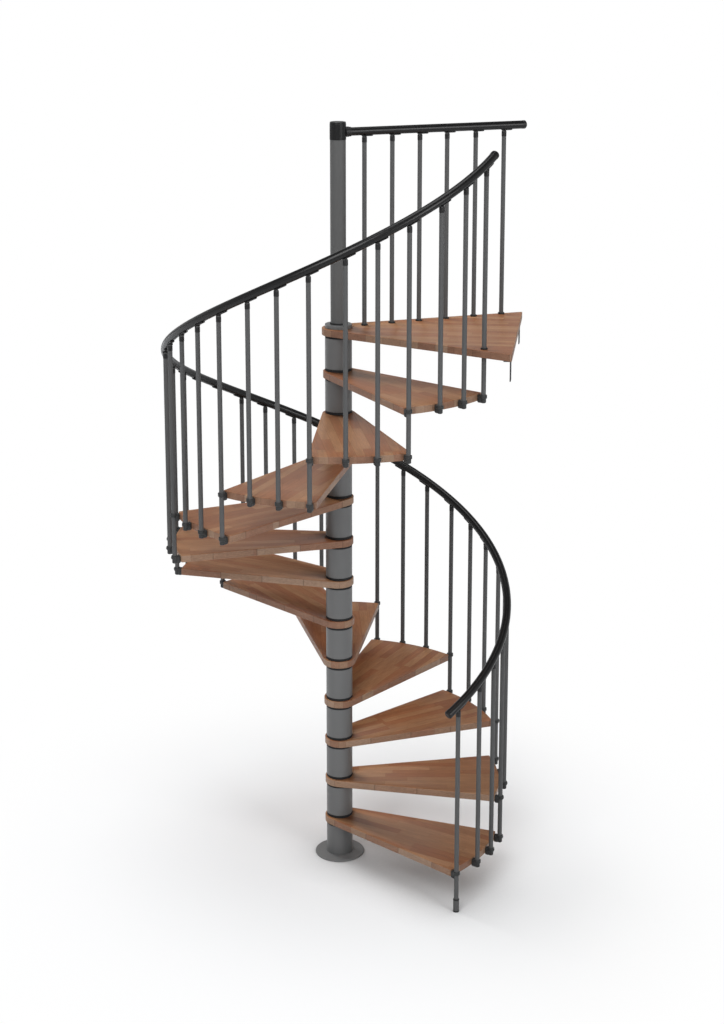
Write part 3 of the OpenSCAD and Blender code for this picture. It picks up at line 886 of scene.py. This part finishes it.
def make_landing_rail():
    """Balusters of the landing, the straight rail, its collar at the post, its end cap and saddles."""
    ahead = (math.cos(FENCE), math.sin(FENCE), 0)

    def along(distance):
        """Point of the rail's line at a distance from the axis."""
        return np.array([ahead[0] * distance, ahead[1] * distance, FENCE_Z])

    high = FENCE_Z - RAIL_R - SADDLE_T
    tubes = [moved(rod(LANDING_Z, high, BALUSTER_R), FENCE, fence_x(j)) for j in range(FENCE_COUNT)]
    piece("landing_baluster_tubes", tubes, baluster_grey, ["landing_balusters"])
    bar = pointed(rod(0, FENCE_END - FENCE_START, RAIL_R, RAIL_SIDES), along(FENCE_START), ahead)
    piece("landing_rail_bar", [bar], rail_black, ["landing_rail"])

    low = CAP_R - COLLAR_SUNK
    high, neck_r = low + COLLAR_L, COLLAR_R - COLLAR_STEP
    collar = [(RAIL_R, low, 0), (COLLAR_R, low, EDGE_FINE), (COLLAR_R, low + COLLAR_L * 0.62, EDGE_CUT),
              (neck_r, low + COLLAR_L * 0.66, EDGE_FINE), (neck_r, high, COLLAR_STEP), (RAIL_R, high, 0)]
    fittings = [pointed(turned(rounded(collar), RAIL_SIDES), along(0), ahead),
                pointed(rail_tip(), along(FENCE_END), ahead)]
    fittings += [shape for j in range(FENCE_COUNT) for shape in fence_saddle(j)]
    piece("landing_rail_mouldings", fittings, socket_black, ["landing_rail_fittings"])


def finish_kept_nodes():
    """Materials of the two CAD nodes that show as they are."""
    for name, material in (("fixing_brackets", bracket_black), ("core_pole", pole_steel)):
        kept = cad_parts[name]
        kept.data.materials.clear()
        kept.data.materials.append(material)


make_base()
make_spacers()
make_post()
make_boards()
make_balusters()
make_baluster_foot()
make_baluster_fittings()
make_handrail()
make_landing_rail()
finish_kept_nodes()


# ---- Stage ------------------------------------------------------------------------------------
def seen_directly(tree):
    """1 for rays from the camera, straight or through glass, and 0 for light that falls on the object."""
    path = node(tree, "LightPath").outputs
    return calc(tree, "MAXIMUM", path["Is Camera Ray"], path["Is Transmission Ray"])


def floor_paint(clear_from, clear_at):
    """Pale floor that takes the stair's shadow, with painted shade close under the stair: an occlusion
    node darkens its colour there. It fades to plain white between two distances from the column."""
    material = bpy.data.materials.new("studio_floor")
    material.use_nodes = True
    tree = material.node_tree
    tree.nodes.remove(tree.nodes["Principled BSDF"])
    place = node(tree, "TexCoord").outputs["Object"]
    distance = node(tree, "VectorMath", [place], operation="LENGTH").outputs["Value"]
    fade = scaled(tree, distance, clear_from, clear_at, 0.0, 1.0, interpolation_type="SMOOTHERSTEP")
    pale, reach, depth = (0.87, 0.88, 0.892, 1), 0.32, 0.78
    # Painted shade: the floor's colour is darkened where the stair lies close above it.
    painted_shade_under = node(tree, "AmbientOcclusion", {"Color": pale, "Distance": reach}, samples=8)
    paint = mixed(tree, depth, pale, painted_shade_under.outputs["Color"])
    matt = node(tree, "BsdfDiffuse", [paint, 0.5]).outputs[0]
    white = node(tree, "Emission", [(1, 1, 1, 1), 1.0]).outputs[0]
    factor = calc(tree, "MULTIPLY", fade, seen_directly(tree))
    both = node(tree, "MixShader", [factor, matt, white]).outputs[0]
    feed(tree, tree.nodes["Material Output"].inputs[0], both)
    return material


def make_floor():
    """Square floor just below the stair's feet."""
    reach, z = 40.0, -0.0003
    corners = [(-reach, -reach, z), (reach, -reach, z), (reach, reach, z), (-reach, reach, z)]
    mesh = bpy.data.meshes.new("studio_floor")
    mesh.from_pydata(corners, [], [(0, 1, 2, 3)])
    mesh.materials.append(floor_paint(clear_from=0.3, clear_at=2.4))
    made = bpy.data.objects.new("studio_floor", mesh)
    bpy.context.scene.collection.objects.link(made)


def soft_light(name, place, watts, mirrored=True):
    """A square area light that faces the stair's middle, and shows in glossy surfaces if mirrored."""
    size, target = 6.0, (0, 0, 1.5)
    lamp = bpy.data.lights.new(name, "AREA")
    lamp.size, lamp.energy = size, watts
    made = bpy.data.objects.new(name, lamp)
    made.location, made.visible_glossy = place, mirrored
    made.rotation_euler = (Vector(target) - Vector(place)).to_track_quat("-Z", "Y").to_euler()
    bpy.context.scene.collection.objects.link(made)


def make_world(level):
    """Even surroundings: plain white where they are seen, and as light fading from the horizon to
    nothing straight up: strength = level (1 - z) in the direction (x, y, z)."""
    world = bpy.data.worlds.new("studio")
    world.use_nodes = True
    tree = world.node_tree
    direction = node(tree, "TexCoord").outputs["Generated"]
    up = node(tree, "SeparateXYZ", [direction]).outputs[2]
    light = calc(tree, "MULTIPLY", calc(tree, "SUBTRACT", 1.0, up), level)
    strength = scaled(tree, seen_directly(tree), 0.0, 1.0, light, 1.0)
    feed(tree, tree.nodes["Background"].inputs[0], (1, 1, 1, 1))
    feed(tree, tree.nodes["Background"].inputs[1], strength)
    bpy.context.scene.world = world


def make_camera():
    """Camera in front of the stair, above its middle, tipped down a little with a small vertical
    shift."""
    down, aside = rad(12.31), rad(0.24)
    lens = bpy.data.cameras.new("camera")
    lens.lens, lens.sensor_width, lens.shift_y = 65.57, 36.0, -0.16
    made = bpy.data.objects.new("camera", lens)
    made.location = (0.150, -8.764, 4.540)
    made.rotation_euler = (rad(90) - down, 0, aside)
    bpy.context.scene.collection.objects.link(made)
    bpy.context.scene.camera = made


make_floor()
make_world(level=0.75)
soft_light("front_softbox", (-3.0, -9.0, 9.0), watts=650)
soft_light("right_softbox", (10.0, -9.0, 6.0), watts=550)
soft_light("back_softbox", (-9.0, 9.0, 8.0), watts=1300, mirrored=False)
soft_light("top_softbox", (0.0, 0.0, 12.0), watts=310)
make_camera()
bpy.context.scene.view_settings.view_transform = "Standard"

bpy.context.view_layer.update()
